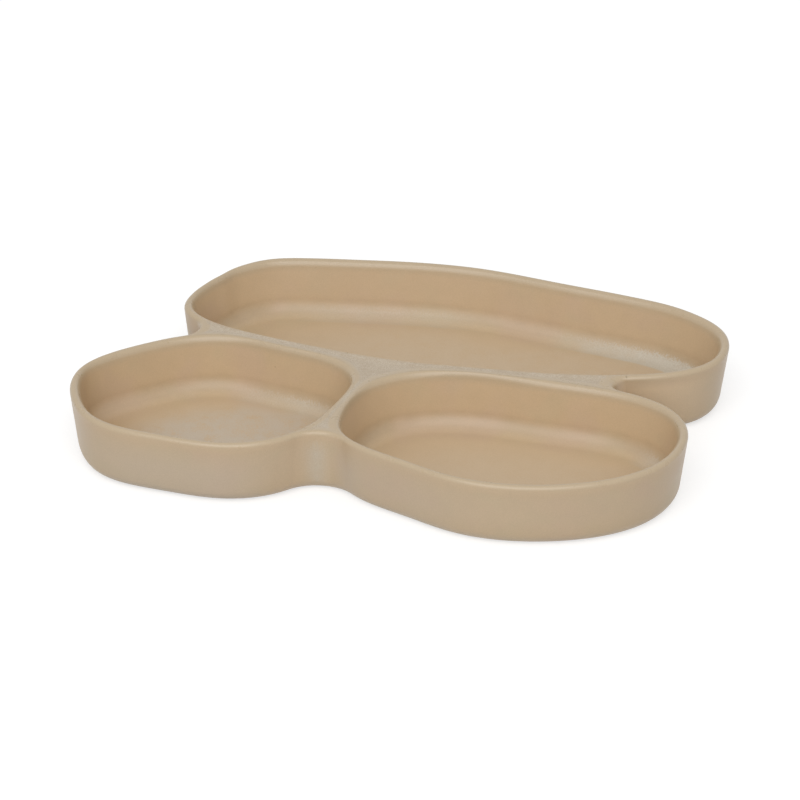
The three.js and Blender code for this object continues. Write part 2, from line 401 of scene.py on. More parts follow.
class NodeDesk:
    """Short calls that add nodes to one tree and join them up."""

    def __init__(self, tree):
        self.tree = tree

    def put(self, socket, value):
        if isinstance(value, bpy.types.NodeSocket):
            self.tree.links.new(value, socket)
        else:
            socket.default_value = value

    def node(self, kind, inputs=None, **settings):
        made = self.tree.nodes.new(kind)
        for title, value in settings.items():
            setattr(made, title, value)
        for title, value in (inputs or {}).items():
            self.put(made.inputs[title], value)
        return made

    def math(self, operation, *values):
        made = self.node("ShaderNodeMath", operation=operation)
        for socket, value in zip(made.inputs, values):
            self.put(socket, value)
        return made.outputs[0]

    def add(self, first, second):
        return self.math("ADD", first, second)

    def sub(self, first, second):
        return self.math("SUBTRACT", first, second)

    def mul(self, first, second):
        return self.math("MULTIPLY", first, second)

    def vector(self, x, y, z=0.0):
        return self.node("ShaderNodeCombineXYZ", {"X": x, "Y": y, "Z": z}).outputs[0]

    def vector_add(self, first, second):
        made = self.node("ShaderNodeVectorMath", operation="ADD")
        self.put(made.inputs[0], first)
        self.put(made.inputs[1], second)
        return made.outputs[0]

    def vector_scale(self, first, scale):
        made = self.node("ShaderNodeVectorMath", operation="SCALE")
        self.put(made.inputs[0], first)
        self.put(made.inputs["Scale"], scale)
        return made.outputs[0]

    def rise(self, value, span):
        inputs = {"Value": value, "From Min": span[0], "From Max": span[1]}
        return self.node("ShaderNodeMapRange", inputs, interpolation_type="SMOOTHSTEP").outputs[0]

    def fall(self, value, span):
        return self.sub(1.0, self.rise(value, span))

    def mix(self, share, first, second):
        made = self.node("ShaderNodeMix", data_type="RGBA")
        for index, value in ((0, share), (6, first), (7, second)):
            self.put(made.inputs[index], value)
        return made.outputs[2]

    def noise(self, place, scale, detail=SOFT_DETAIL):
        inputs = {"Vector": place, "Scale": scale, "Detail": detail}
        return self.node("ShaderNodeTexNoise", inputs).outputs[0]

    def attribute(self, title):
        return self.node("ShaderNodeAttribute", attribute_name=title).outputs["Fac"]

    def bands(self, level, stops):
        made = self.node("ShaderNodeValToRGB", {"Fac": level})
        elements = made.color_ramp.elements
        while len(elements) < len(stops):
            elements.new(1.0)
        for element, (height, colour) in zip(elements, stops):
            element.position = height * MM / HEIGHT
            element.color = linear(colour)
        return made.outputs["Color"]


# Plan of the dish


def pebble_points(bowl, shares):
    """Points of a bowl's plain mouth at shares of the way round, counter-clockwise from the right."""

    def pebble(t):
        radius = (
            1
            + bowl["slant"] * np.sin(2 * t)
            + bowl["taper"] * np.cos(3 * t)
            + bowl["sag"] * np.sin(3 * t)
            - bowl["boxy"] * np.cos(4 * t)
            + bowl["twist"] * np.sin(4 * t)
            + bowl["five_sided"] * np.cos(5 * t)
            + bowl["five_twist"] * np.sin(5 * t)
            + bowl["six_sided"] * np.cos(6 * t)
            + bowl["six_twist"] * np.sin(6 * t)
        )
        return np.stack([radius * np.cos(t), radius * np.sin(t)], axis=1)

    whole = pebble(np.linspace(0, 2 * math.pi, POINTS_DENSE, endpoint=False))
    low, high = whole.min(axis=0), whole.max(axis=0)
    points = (pebble(2 * math.pi * np.asarray(shares)) - (low + high) / 2) / (high - low) * bowl["size"]
    turn = math.radians(bowl["turn"])
    turned = np.array([[math.cos(turn), math.sin(turn)], [-math.sin(turn), math.cos(turn)]])
    return points @ turned + bowl["centre"]


def outward_at(points_at, bowl, shares):
    step = 1e-4
    along = points_at(bowl, shares + step) - points_at(bowl, shares - step)
    outward = np.stack([along[:, 1], -along[:, 0]], axis=1)
    return outward / np.linalg.norm(outward, axis=1, keepdims=True)


def mouth_points(bowl, shares):
    """Points of a bowl's mouth with its swells and dents."""
    out = np.zeros(len(shares))
    for middle, spread, height in bowl["swells"]:
        away = (shares - middle + 0.5) % 1 - 0.5
        out += height * np.exp(-((away / spread) ** 2))
    return pebble_points(bowl, shares) + outward_at(pebble_points, bowl, shares) * out[:, None]


def distance_to_loop(points, loop):
    """Distance of each point to a closed loop, and the index of the nearest stretch of it."""
    along = np.roll(loop, -1, axis=0) - loop
    length = (along**2).sum(axis=1) + 1e-18
    nearest = np.full(len(points), np.inf)
    index = np.zeros(len(points), dtype=int)
    batch = 400
    for first in range(0, len(points), batch):
        rows = slice(first, first + batch)
        offset = points[rows, None, :] - loop[None]
        share = np.clip((offset * along).sum(axis=2) / length, 0, 1)
        gap = np.sqrt(((offset - share[..., None] * along) ** 2).sum(axis=2))
        index[rows] = gap.argmin(axis=1)
        nearest[rows] = gap.min(axis=1)
    return nearest, index


def inside_loop(points, loop):
    inside = np.zeros(len(points), dtype=bool)
    for a, b in zip(loop, np.roll(loop, -1, axis=0)):
        spans = (a[1] > points[:, 1]) != (b[1] > points[:, 1])
        rise = b[1] - a[1] if b[1] != a[1] else 1e-12
        inside ^= spans & (points[:, 0] < a[0] + (points[:, 1] - a[1]) * (b[0] - a[0]) / rise)
    return inside


dense_shares = np.arange(POINTS_DENSE) / POINTS_DENSE
dense_mouths = {name: mouth_points(bowl, dense_shares) for name, bowl in BOWLS.items()}


def total_facing(outward, stretches, spread):
    """Sum of what each stretch gives to walls that face those ways."""
    facing = np.degrees(np.arctan2(outward[:, 1], outward[:, 0]))
    total = np.zeros(len(outward))
    for way, amount in stretches:
        away = (facing - way + 180) % 360 - 180
        total += amount * np.exp(-((away / spread) ** 2))
    return total


def plan_at(name, shares):
    """Mouth points, outward directions and wall thickness of a bowl at shares of the way round."""
    mouth = mouth_points(BOWLS[name], shares)
    outward = outward_at(mouth_points, BOWLS[name], shares)
    others = [distance_to_loop(mouth, loop)[0] for other, loop in dense_mouths.items() if other != name]
    room = (np.minimum(*others) - WEB_NECK) / 2
    wall = -WALL_SOFTNESS * np.logaddexp(-LIP_WIDTH / WALL_SOFTNESS, -room / WALL_SOFTNESS)
    inside_loss = total_facing(outward, BOWLS[name]["thin_inside"], THIN_SPREAD)
    outside_loss = total_facing(outward, BOWLS[name]["thin_outside"], THIN_SPREAD)
    return mouth + outward * inside_loss[:, None], outward, wall - inside_loss - outside_loss


def outer_edge(name, shares):
    mouth, outward, wall = plan_at(name, shares)
    return mouth + outward * wall[:, None]


def pooling_and_sheen_at(bowl, shares):
    total = np.zeros(len(shares))
    for middle, spread, strength in bowl["pools"]:
        away = np.abs((shares - middle + 0.5) % 1 - 0.5)
        total += strength * np.exp(-((away / spread) ** 4))
    return total


# Bowls: a section carried round the mouth


def section_tree(material):
    """Geometry Nodes that carry a wall's section round an outline, with its floor and underside."""
    tree = bpy.data.node_groups.new("bowl_section", "GeometryNodeTree")
    face = tree.interface
    face.new_socket("Outline", in_out="INPUT", socket_type="NodeSocketGeometry")
    for title in SECTION_SIZES:
        face.new_socket(title, in_out="INPUT", socket_type="NodeSocketFloat")
    face.new_socket("Centre", in_out="INPUT", socket_type="NodeSocketVector")
    face.new_socket("Bowl", in_out="OUTPUT", socket_type="NodeSocketGeometry")
    desk = NodeDesk(tree)
    entry = desk.node("NodeGroupInput").outputs

    def named(title, kind):
        made = desk.node("GeometryNodeInputNamedAttribute", {"Name": title}, data_type=kind)
        return made.outputs["Attribute"]

    def store(geometry, title, kind, value):
        inputs = {"Geometry": geometry, "Name": title}
        made = desk.node("GeometryNodeStoreNamedAttribute", inputs, data_type=kind, domain="POINT")
        desk.put(made.inputs["Value"], value)
        return made.outputs["Geometry"]

    def line(start, end, count):
        drawn = desk.node("GeometryNodeCurvePrimitiveLine", {"Start": start, "End": end})
        inputs = {"Curve": drawn.outputs["Curve"], "Count": count}
        return desk.node("GeometryNodeResampleCurve", inputs).outputs["Curve"]

    def arc(middle, across, high, start, sweep, count):
        inputs = {"Resolution": count, "Radius": 1.0, "Start Angle": start, "Sweep Angle": sweep}
        drawn = desk.node("GeometryNodeCurveArc", inputs, mode="RADIUS").outputs["Curve"]
        inputs = {"Geometry": drawn, "Translation": middle, "Scale": desk.vector(across, high, 1.0)}
        return desk.node("GeometryNodeTransform", inputs).outputs["Geometry"]

    lip = entry["Lip width"]
    base = entry["Base round"]
    cove = entry["Cove radius"]
    floor = entry["Floor thickness"]
    inner_draft = entry["Inner draft"]
    outside_drop = entry["Lip outside drop"]
    inside_drop = entry["Lip inside drop"]
    crest = desk.mul(lip, entry["Crest share"])
    lip_start = desk.sub(entry["Height"], outside_drop)
    lip_end = desk.sub(entry["Height"], inside_drop)
    lean = desk.math("ARCTAN2", entry["Outer draft"], lip_start)
    cove_top = desk.add(floor, cove)
    cove_middle = desk.mul(desk.add(inner_draft, cove), -1.0)
    foot_height = desk.sub(base, desk.mul(base, desk.math("SINE", lean)))
    foot_out = desk.sub(lip, desk.mul(desk.sub(lip_start, foot_height), desk.math("TANGENT", lean)))
    base_middle = desk.sub(foot_out, desk.mul(base, desk.math("COSINE", lean)))

    lip_foot_out = desk.mul(crest, 1 - math.sin(LIP_INSIDE_SWEEP))
    lip_foot_rise = desk.mul(inside_drop, math.cos(LIP_INSIDE_SWEEP))
    lip_foot = desk.vector(lip_foot_out, desk.add(lip_end, lip_foot_rise))

    path = desk.node("GeometryNodeMeshToCurve", {"Mesh": entry["Outline"]}).outputs["Curve"]
    mouth = named("mouth", "FLOAT_VECTOR")
    outward = named("outward", "FLOAT_VECTOR")
    wall = named("wall", "FLOAT")
    section = desk.node("ShaderNodeSeparateXYZ", {0: named("section", "FLOAT_VECTOR")})
    section_out, section_height, to_centre = section.outputs
    narrowed = desk.math("DIVIDE", desk.mul(section_out, wall), lip)
    depth_share = desk.sub(1.0, desk.math("DIVIDE", section_height, lip_start))
    leaning = desk.mul(named("lean", "FLOAT"), depth_share)
    drawn_in = desk.sub(desk.add(section_out, desk.sub(wall, lip)), leaning)
    lip_inside = desk.sub(1.0, desk.math("DIVIDE", section_out, lip))
    dip = desk.mul(desk.mul(to_centre, desk.sub(2.0, to_centre)), entry["Floor dish"])

    def strip(part, out, level, inside):
        position = desk.node("GeometryNodeInputPosition").outputs[0]
        profile = store(part, "section", "FLOAT_VECTOR", position)
        swept = desk.node("GeometryNodeCurveToMesh", {"Curve": path, "Profile Curve": profile})
        around = desk.vector_add(mouth, desk.vector_scale(outward, out))
        inputs = {0: to_centre, 4: around, 5: entry["Centre"]}
        drawn = desk.node("ShaderNodeMix", inputs, data_type="VECTOR")
        place = desk.vector_add(drawn.outputs[1], desk.vector(0.0, 0.0, level))
        inputs = {"Geometry": swept.outputs["Mesh"], "Position": place}
        moved = desk.node("GeometryNodeSetPosition", inputs).outputs["Geometry"]
        return store(store(moved, "inside", "FLOAT", inside), "floor_share", "FLOAT", to_centre)

    flat = section_height
    sunk = desk.sub(section_height, dip)
    quarter = math.pi / 2
    outer_middle = desk.vector(crest, lip_start)
    outer_lip = arc(outer_middle, desk.sub(lip, crest), outside_drop, 0.0, quarter, LIP_POINTS)
    inner_middle = desk.vector(crest, lip_end)
    inner_lip = arc(inner_middle, crest, inside_drop, quarter, LIP_INSIDE_SWEEP, LIP_POINTS)
    inner_foot = desk.vector(desk.mul(inner_draft, -1.0), cove_top)
    inner_wall = line(lip_foot, inner_foot, WALL_POINTS)
    cove_arc = arc(desk.vector(cove_middle, cove_top), cove, cove, 0.0, -quarter, COVE_POINTS)
    floor_start = desk.vector(cove_middle, floor)
    floor_line = line(floor_start, desk.vector(cove_middle, floor, 1.0), FLOOR_POINTS)
    outer_wall = line(desk.vector(lip, lip_start), desk.vector(foot_out, foot_height), WALL_POINTS)
    base_start = desk.mul(lean, -1.0)
    base_sweep = desk.sub(lean, quarter)
    base_arc = arc(desk.vector(base_middle, base), base, base, base_start, base_sweep, BASE_POINTS)
    under_start = desk.vector(base_middle, 0.0)
    under_line = line(under_start, desk.vector(base_middle, 0.0, 1.0), UNDERSIDE_POINTS)
    joined = desk.node("GeometryNodeJoinGeometry")
    for part in (
        strip(outer_lip, narrowed, flat, lip_inside),
        strip(inner_lip, narrowed, flat, lip_inside),
        strip(inner_wall, desk.math("MINIMUM", section_out, narrowed), flat, 1.0),
        strip(cove_arc, section_out, flat, 1.0),
        strip(floor_line, section_out, sunk, 1.0),
        strip(outer_wall, drawn_in, flat, 0.0),
        strip(base_arc, drawn_in, flat, 0.0),
        strip(under_line, drawn_in, 0.0, 0.0),
    ):
        tree.links.new(part, joined.inputs["Geometry"])
    inputs = {"Geometry": joined.outputs["Geometry"], "Distance": STRIP_GAP}
    merged = desk.node("GeometryNodeMergeByDistance", inputs).outputs["Geometry"]
    real = desk.node("GeometryNodeRealizeInstances", {"Geometry": merged}).outputs["Geometry"]
    dressed = desk.node("GeometryNodeSetMaterial", {"Geometry": real, "Material": material})
    desk.node("NodeGroupOutput", {"Bowl": dressed.outputs["Geometry"]})
    return tree


def tidy_mesh(mesh, folds=()):
    """Closes seams, turns every face outwards and shades it smooth, apart from the folds."""
    work = bmesh.new()
    work.from_mesh(mesh)
    work.verts.ensure_lookup_table()
    for first, second in folds:
        edge = work.edges.get((work.verts[first], work.verts[second]))
        if edge:
            edge.smooth = False
    bmesh.ops.remove_doubles(work, verts=work.verts, dist=WELD_GAP)
    bmesh.ops.recalc_face_normals(work, faces=work.faces)
    for part in work.faces:
        part.smooth = True
    work.to_mesh(mesh)
    work.free()


def set_values(mesh, title, kind, values):
    layer = mesh.attributes.new(title, kind, "POINT")
    key = "vector" if kind == "FLOAT_VECTOR" else "value"
    layer.data.foreach_set(key, np.asarray(values, dtype=np.float32).ravel())


def put_in_scene(name, mesh):
    piece = bpy.data.objects.new(name, mesh)
    bpy.context.scene.collection.objects.link(piece)
    return piece


def make_bowl(name, tree):
    bowl = BOWLS[name]
    shares = np.arange(POINTS_ROUND) / POINTS_ROUND
    mouth, outward, wall = plan_at(name, shares)
    flat = np.zeros((POINTS_ROUND, 1))
    outline = bpy.data.meshes.new(name + "_outline")
    edges = [(i, (i + 1) % POINTS_ROUND) for i in range(POINTS_ROUND)]
    outline.from_pydata(np.hstack([mouth, flat]).tolist(), edges, [])
    set_values(outline, "mouth", "FLOAT_VECTOR", np.hstack([mouth, flat]))
    set_values(outline, "outward", "FLOAT_VECTOR", np.hstack([outward, flat]))
    set_values(outline, "wall", "FLOAT", wall)
    set_values(outline, "lean", "FLOAT", total_facing(outward, bowl["lean"], LEAN_SPREAD))
    # Painted shade and painted light inside, by the way each wall faces
    set_values(outline, "deep", "FLOAT", total_facing(outward, bowl["deep"], PAINTED_LIGHT_SHADE_AND_ASH_SPREAD))
    # Painted light outside, and ashen glaze for a negative share
    set_values(outline, "warm", "FLOAT", total_facing(outward, bowl["warm"], PAINTED_LIGHT_SHADE_AND_ASH_SPREAD))
    # Pale glaze in the cove, with a painted sheen of the light along it
    set_values(outline, "pool_and_sheen", "FLOAT", pooling_and_sheen_at(bowl, shares))
    set_values(outline, "bloom", "FLOAT", np.full(POINTS_ROUND, bowl["bloom"]))
    path = put_in_scene(name + "_path", outline)
    modifier = path.modifiers.new("section", "NODES")
    modifier.node_group = tree
    sizes = {**SECTION_SIZES, "Centre": (*bowl["centre"], 0.0)}
    for item in tree.interface.items_tree:
        if item.in_out == "INPUT" and item.name in sizes:
            modifier[item.identifier] = sizes[item.name]
    bpy.context.view_layer.update()
    evaluated = path.evaluated_get(bpy.context.evaluated_depsgraph_get())
    mesh = bpy.data.meshes.new_from_object(evaluated)
    path.modifiers.remove(modifier)
    bpy.data.objects.remove(path)
    bpy.data.meshes.remove(outline)
    for title in ("mouth", "outward", "wall", "lean", "section"):
        mesh.attributes.remove(mesh.attributes[title])
    tidy_mesh(mesh)
    mesh.name = name + "_glazed"
    return put_in_scene(name + "_glazed", mesh)


# Web


def touching_centre(outlines, radius, guess):
    """Centre of the circle of that radius which touches two outlines from outside."""
    centre = np.array(guess)
    for _ in range(CENTRE_ROUNDS):
        directions = []
        misses = []
        for outline in outlines:
            near = outline[np.hypot(*(outline - centre).T).argmin()]
            gap = np.linalg.norm(centre - near)
            directions.append((centre - near) / gap)
            misses.append(radius - gap)
        centre = centre + np.linalg.solve(np.array(directions), np.array(misses))
    return centre


def touching_share(name, centre):
    """Share of the way round a bowl at which its outer edge comes nearest to a point."""
    shares = dense_shares
    spread = 1 / POINTS_DENSE
    for _ in range(SHARE_ROUNDS):
        gap = np.hypot(*(outer_edge(name, shares) - centre).T)
        best = shares[gap.argmin()]
        shares = np.linspace(best - spread, best + spread, SHARE_POINTS)
        spread /= SHARE_ZOOM
    return best


def bowl_side(name, begin, leave):
    """Stretch of the web's edge along a bowl, from one share of the way round it back to another."""
    span = (begin - leave) % 1
    count = max(SIDE_POINTS_LEAST, int(span * SIDE_POINTS_ROUND))
    mouth, outward, wall = plan_at(name, begin - span * np.linspace(0, 1, count))
    plain = np.zeros(count)
    return {
        "beside_bowl": np.ones(count),
        "mouth": mouth,
        "outward": outward,
        "wall": wall,
        "run": plain,
        "warm": plain,
        "soft": plain,
        "frost": np.full(count, BOWLS[name]["frost"]),
    }


def valley_side(valley, centre, leave, arrive):
    """Stretch of the web's edge round a valley, from the bowl that it leaves to the next one."""
    first, second = valley["bowls"]
    from_mouth, from_outward, from_wall = plan_at(first, np.array([leave]))
    to_mouth, to_outward, to_wall = plan_at(second, np.array([arrive]))
    start = from_mouth[0] + from_outward[0] * from_wall[0] - centre
    end = to_mouth[0] + to_outward[0] * to_wall[0] - centre
    start_angle = math.atan2(start[1], start[0])
    end_angle = math.atan2(end[1], end[0])
    sweep = (end_angle - start_angle + math.pi) % (2 * math.pi) - math.pi
    along = np.linspace(0, 1, VALLEY_POINTS)[1:-1]
    angle = start_angle + sweep * along
    blend = smooth_step(0, 1, along)
    wall = from_wall[0] * (1 - blend) + to_wall[0] * blend
    outward = -np.stack([np.cos(angle), np.sin(angle)], axis=1)
    middle = np.sin(math.pi * along) ** 2
    # Painted light of the two bowls towards the ends, and of the valley in its middle, with their ashen
    # glaze
    from_painted_light_and_ash = total_facing(from_outward, BOWLS[first]["warm"], PAINTED_LIGHT_SHADE_AND_ASH_SPREAD)
    to_painted_light_and_ash = total_facing(to_outward, BOWLS[second]["warm"], PAINTED_LIGHT_SHADE_AND_ASH_SPREAD)
    warm = from_painted_light_and_ash * (1 - blend) + to_painted_light_and_ash * blend
    return {
        "beside_bowl": np.zeros(len(along)),
        "mouth": centre - outward * (valley["radius"] + wall[:, None]),
        "outward": outward,
        "wall": wall,
        "run": valley["run"] * np.exp(-(((along - STREAK_MIDDLE) / STREAK_SPREAD) ** 2)),
        "warm": warm * (1 - middle) + valley["warm"] * middle,
        "soft": valley["soft"] * middle,
        "frost": np.full(len(along), VALLEY_FROST),
    }


def web_sides():
    """Stretches of the web's edge, counter-clockwise: along a bowl, round a valley, and so on."""
    outlines = {name: outer_edge(name, dense_shares) for name in BOWLS}
    places = []
    for valley in VALLEYS:
        first, second = valley["bowls"]
        pair = (outlines[first], outlines[second])
        centre = touching_centre(pair, valley["radius"], valley["centre"])
        places.append((centre, touching_share(first, centre), touching_share(second, centre)))
    sides = []
    for k, valley in enumerate(VALLEYS):
        centre, leave, arrive = places[k]
        begin = places[k - 1][2]
        sides.append(bowl_side(valley["bowls"][0], begin, leave))
        sides.append(valley_side(valley, centre, leave, arrive))
    return sides


def web_rings(mouth, outward, wall, soft):
    """Closed rings of the web's edge from its crest over the lip and down the wall to the table."""
    crest = wall * CREST_SHARE * (1 - soft)
    drop = LIP_OUTSIDE_DROP + (VALLEY_DROP - LIP_OUTSIDE_DROP) * soft
    lip_start = HEIGHT - LIP_OUTSIDE_DROP
    lean = math.atan2(OUTER_DRAFT, lip_start)
    foot_height = BASE_ROUND * (1 - math.sin(lean))
    foot_out = LIP_WIDTH - (lip_start - foot_height) * math.tan(lean)
    base_middle = foot_out - BASE_ROUND * math.cos(lean)
    steps = []
    for angle in np.radians(np.linspace(90, 0, LIP_POINTS)):
        out = crest + (wall - crest) * math.cos(angle)
        steps.append((out, HEIGHT - drop * (1 - math.sin(angle))))
    for share in np.linspace(0, 1, WALL_POINTS)[1:]:
        level = (HEIGHT - drop) * (1 - share) + foot_height * share
        steps.append((wall + (foot_out - LIP_WIDTH) * share, level))
    for angle in np.linspace(-lean, -math.pi / 2, BASE_POINTS)[1:]:
        out = base_middle + BASE_ROUND * math.cos(angle)
        level = np.full(len(mouth), BASE_ROUND * (1 + math.sin(angle)))
        steps.append((wall - LIP_WIDTH + out, level))
    rings = []
    for out, level in steps:
        rings.append(np.column_stack([mouth + outward * out[:, None], level]))
    return rings


def fill_loop(loop, spacing=None):
    """Points and faces that fill a closed loop, and which point stands for each of the loop's."""
    spots = loop
    if spacing:
        low, high = loop.min(axis=0), loop.max(axis=0)
        grid = []
        for row, y in enumerate(np.arange(low[1], high[1], spacing * math.sqrt(0.75))):
            x = np.arange(low[0] + (row % 2) * spacing / 2, high[0], spacing)
            grid.append(np.column_stack([x, np.full(len(x), y)]))
        grid = np.vstack(grid)
        clear = distance_to_loop(grid, loop)[0] > GRID_CLEARANCE * spacing
        spots = np.vstack([loop, grid[clear & inside_loop(grid, loop)]])
    edges = [(i, (i + 1) % len(loop)) for i in range(len(loop))]
    made, _, faces, sources, _, _ = delaunay_2d_cdt([Vector(spot) for spot in spots], edges, [], 1, 1e-9)
    stands_for = np.zeros(len(loop), dtype=int)
    for index, origin in enumerate(sources):
        for source in origin:
            if source < len(loop):
                stands_for[source] = index
    return np.array([tuple(spot) for spot in made]), faces, stands_for


def wall_faces(above, below):
    """Faces between two rings that have the same number of points."""
    after = np.roll(np.arange(len(above)), -1)
    return [(above[i], below[i], below[j], above[j]) for i, j in enumerate(after)]


def make_web(material):
    sides = web_sides()
    edge = {key: np.concatenate([side[key] for side in sides]) for key in sides[0]}
    wall = edge["wall"]
    beside_bowl = edge["beside_bowl"]
    count = len(wall)
    rings = web_rings(edge["mouth"], edge["outward"], wall, edge["soft"])

    crest = rings[0][:, :2]
    top, deck_faces, crest_index = fill_loop(crest, DECK_SPACING)
    gap, nearest = distance_to_loop(top, crest)
    reach = gap / (wall[nearest] / 2)
    sunk = DECK_DROP * wall[nearest] / LIP_WIDTH * smooth_step(0, DECK_REACH, reach)
    bottom, bottom_faces, foot_index = fill_loop(rings[-1][:, :2])

    points = [np.column_stack([top, HEIGHT - sunk])]
    values = {
        "deck": [smooth_step(0, FROST_FADE, reach - edge["frost"][nearest])],
        "inside": [CREST_INSIDE * (1 - smooth_step(0, 1, reach))],
        "streak": [np.zeros(len(top))],
        "warm": [np.zeros(len(top))],
    }
    plain = np.zeros(count)
    wall_values = {"deck": plain, "inside": plain, "streak": edge["run"], "warm": edge["warm"]}
    faces = [tuple(face) for face in deck_faces]
    folds = []
    start = len(top)
    above = crest_index
    for level in rings[1:-1]:
        points.append(level)
        for title, given in wall_values.items():
            values[title].append(given)
        below = np.arange(start, start + count)
        start += count
        faces += wall_faces(above, below)
        folds += [(above[i], below[i]) for i in range(count) if beside_bowl[i]]
        above = below
    points.append(np.column_stack([bottom, np.zeros(len(bottom))]))
    for given in values.values():
        given.append(np.zeros(len(bottom)))
    faces += wall_faces(above, start + foot_index)
    faces += [tuple(start + corner for corner in face[::-1]) for face in bottom_faces]
    for i in range(count):
        j = (i + 1) % count
        if beside_bowl[i] and beside_bowl[j]:
            folds.append((crest_index[i], crest_index[j]))

    mesh = bpy.data.meshes.new("joining_web_glazed")
    mesh.from_pydata(np.vstack(points).tolist(), [], [tuple(int(i) for i in face) for face in faces])
    for title, given in values.items():
        set_values(mesh, title, "FLOAT", np.concatenate(given))
    tidy_mesh(mesh, [(int(first), int(second)) for first, second in folds])
    mesh.materials.append(material)
    return put_in_scene("joining_web_glazed", mesh)


# Glaze


def sand_glaze():
    """Satin sand glaze: a pale lip over a warmer band, pale where it has gathered with a painted sheen
    of the light in the coves, painted light and painted shade on some walls, and fine grain.
    """
    material = bpy.data.materials.new("sand_glaze")
    material.use_nodes = True
    material.node_tree.nodes.clear()
    desk = NodeDesk(material.node_tree)
    place = desk.node("ShaderNodeTexCoord").outputs["Object"]
    height = desk.node("ShaderNodeSeparateXYZ", {0: place}).outputs["Z"]
    floor_share = desk.attribute("floor_share")
    pool_and_sheen = desk.attribute("pool_and_sheen")
    inside = desk.rise(desk.attribute("inside"), INSIDE_RANGE)
    outside = desk.sub(1.0, inside)

    clouds = desk.noise(place, CLOUD_SCALE)
    other_clouds = desk.noise(desk.vector_add(place, MOSS_SHIFT), MOSS_SCALE)
    blotches = desk.sub(desk.noise(place, BLOTCH_SCALE), 0.5)
    stretched = desk.node("ShaderNodeMapping", {"Vector": place, "Scale": (1.0, 1.0, HAIR_STRETCH)})
    hairs = desk.sub(desk.noise(stretched.outputs[0], HAIR_SCALE), 0.5)
    peel = desk.noise(place, PEEL_SCALE, FINE_DETAIL)
    grain = desk.noise(place, GRAIN_SCALE, FINE_DETAIL)
    grain_away = desk.sub(grain, 0.5)
    dust = desk.noise(place, DUST_SCALE, FINE_DETAIL)

    # Bands and clouds
    wander = desk.mul(desk.add(desk.sub(clouds, 0.5), blotches), BAND_WANDER)
    level = desk.math("DIVIDE", desk.add(height, wander), HEIGHT)
    skin = desk.mix(inside, desk.bands(level, OUTER_BANDS), desk.bands(level, INNER_BANDS))
    below_lip = desk.fall(height, CLOUD_TOP)
    rose = desk.mul(desk.mul(desk.rise(clouds, ROSE_RANGE), below_lip), ROSE_STRENGTH)
    moss = desk.mul(desk.mul(desk.rise(other_clouds, MOSS_RANGE), below_lip), MOSS_STRENGTH)
    skin = desk.mix(rose, skin, linear(ROSE_CLOUD))
    skin = desk.mix(moss, skin, linear(MOSS_CLOUD))

    # Painted warmer light and ashen glaze outside, painted shade and painted light inside
    warm = desk.mul(desk.attribute("warm"), outside)
    ashen = desk.mul(warm, -1.0)
    skin = desk.mix(desk.mul(warm, desk.fall(height, PAINTED_LIGHT_TOP)), skin, linear(PAINTED_WARM_LIGHT))
    skin = desk.mix(desk.mul(ashen, desk.fall(height, ASH_TOP)), skin, linear(FOOT_ASH))
    floor_middle = desk.mul(desk.rise(floor_share, FLOOR_START), inside)
    skin = desk.mix(floor_middle, skin, linear(FLOOR_SAND))
    # Painted shade at the inner ends, and painted light where the share is negative
    deep = desk.mul(desk.mul(desk.attribute("deep"), inside), desk.fall(floor_share, PAINTED_SHADE_END))
    deep = desk.mul(deep, desk.fall(height, PAINTED_SHADE_TOP))
    pale = desk.mul(desk.mul(deep, -1.0), desk.rise(height, PAINTED_LIGHT_FOOT))
    skin = desk.mix(deep, skin, linear(INNER_PAINTED_SHADE))
    skin = desk.mix(pale, skin, linear(INNER_PAINTED_LIGHT))

    # Greyish bloom on the floor
    bloom_reach = desk.add(floor_share, desk.mul(pool_and_sheen, POOL_BLOOM))
    bloom = desk.mul(desk.rise(bloom_reach, BLOOM_START), desk.rise(floor_share, POOL_END))
    bloom = desk.mul(desk.mul(bloom, inside), desk.attribute("bloom"))
    bloom = desk.mul(bloom, desk.rise(desk.add(blotches, grain), BLOOM_RANGE))
    skin = desk.mix(bloom, skin, linear(FLOOR_GREY))

    # Pale glaze gathered in the coves, with a painted sheen of the light along them, and run down the
    # valleys
    cove_frayed = desk.add(height, desk.mul(hairs, POOL_FRAY))
    cove_share = desk.mul(desk.fall(floor_share, POOL_END), desk.fall(cove_frayed, POOL_TOP))
    cove_pool_and_sheen = desk.mul(desk.mul(pool_and_sheen, inside), cove_share)
    run_frayed = desk.add(height, desk.mul(hairs, RUN_FRAY))
    run_share = desk.mul(desk.rise(run_frayed, RUN_FOOT), desk.fall(run_frayed, RUN_TOP))
    depth_share = desk.sub(1.0, desk.math("DIVIDE", height, HEIGHT))
    narrowing = desk.add(1.0, desk.mul(depth_share, RUN_NARROWING))
    valley_run = desk.mul(desk.math("POWER", desk.attribute("streak"), narrowing), run_share)
    uneven = desk.add(POOL_FULLNESS, desk.add(desk.mul(grain_away, POOL_GRAIN), blotches))
    pooled_and_sheen = desk.mul(desk.math("MAXIMUM", cove_pool_and_sheen, valley_run), uneven)
    skin = desk.mix(pooled_and_sheen, skin, desk.mix(grain, linear(POOL_AND_SHEEN_GREY), linear(POOL_AND_SHEEN_PALE)))

    # Frosted deck
    ragged = desk.mul(desk.add(blotches, grain_away), DECK_RAGGEDNESS)
    deck = desk.rise(desk.add(desk.attribute("deck"), ragged), DECK_RANGE)
    mottle = desk.add(desk.mul(grain, MOTTLE_GRAIN), desk.mul(dust, MOTTLE_DUST))
    mottle = desk.add(mottle, desk.mul(blotches, MOTTLE_BLOTCHES))
    sparkle = desk.rise(mottle, SPARKLE_RANGE)
    skin = desk.mix(deck, skin, desk.mix(sparkle, linear(DECK_DIM), linear(DECK_PALE)))

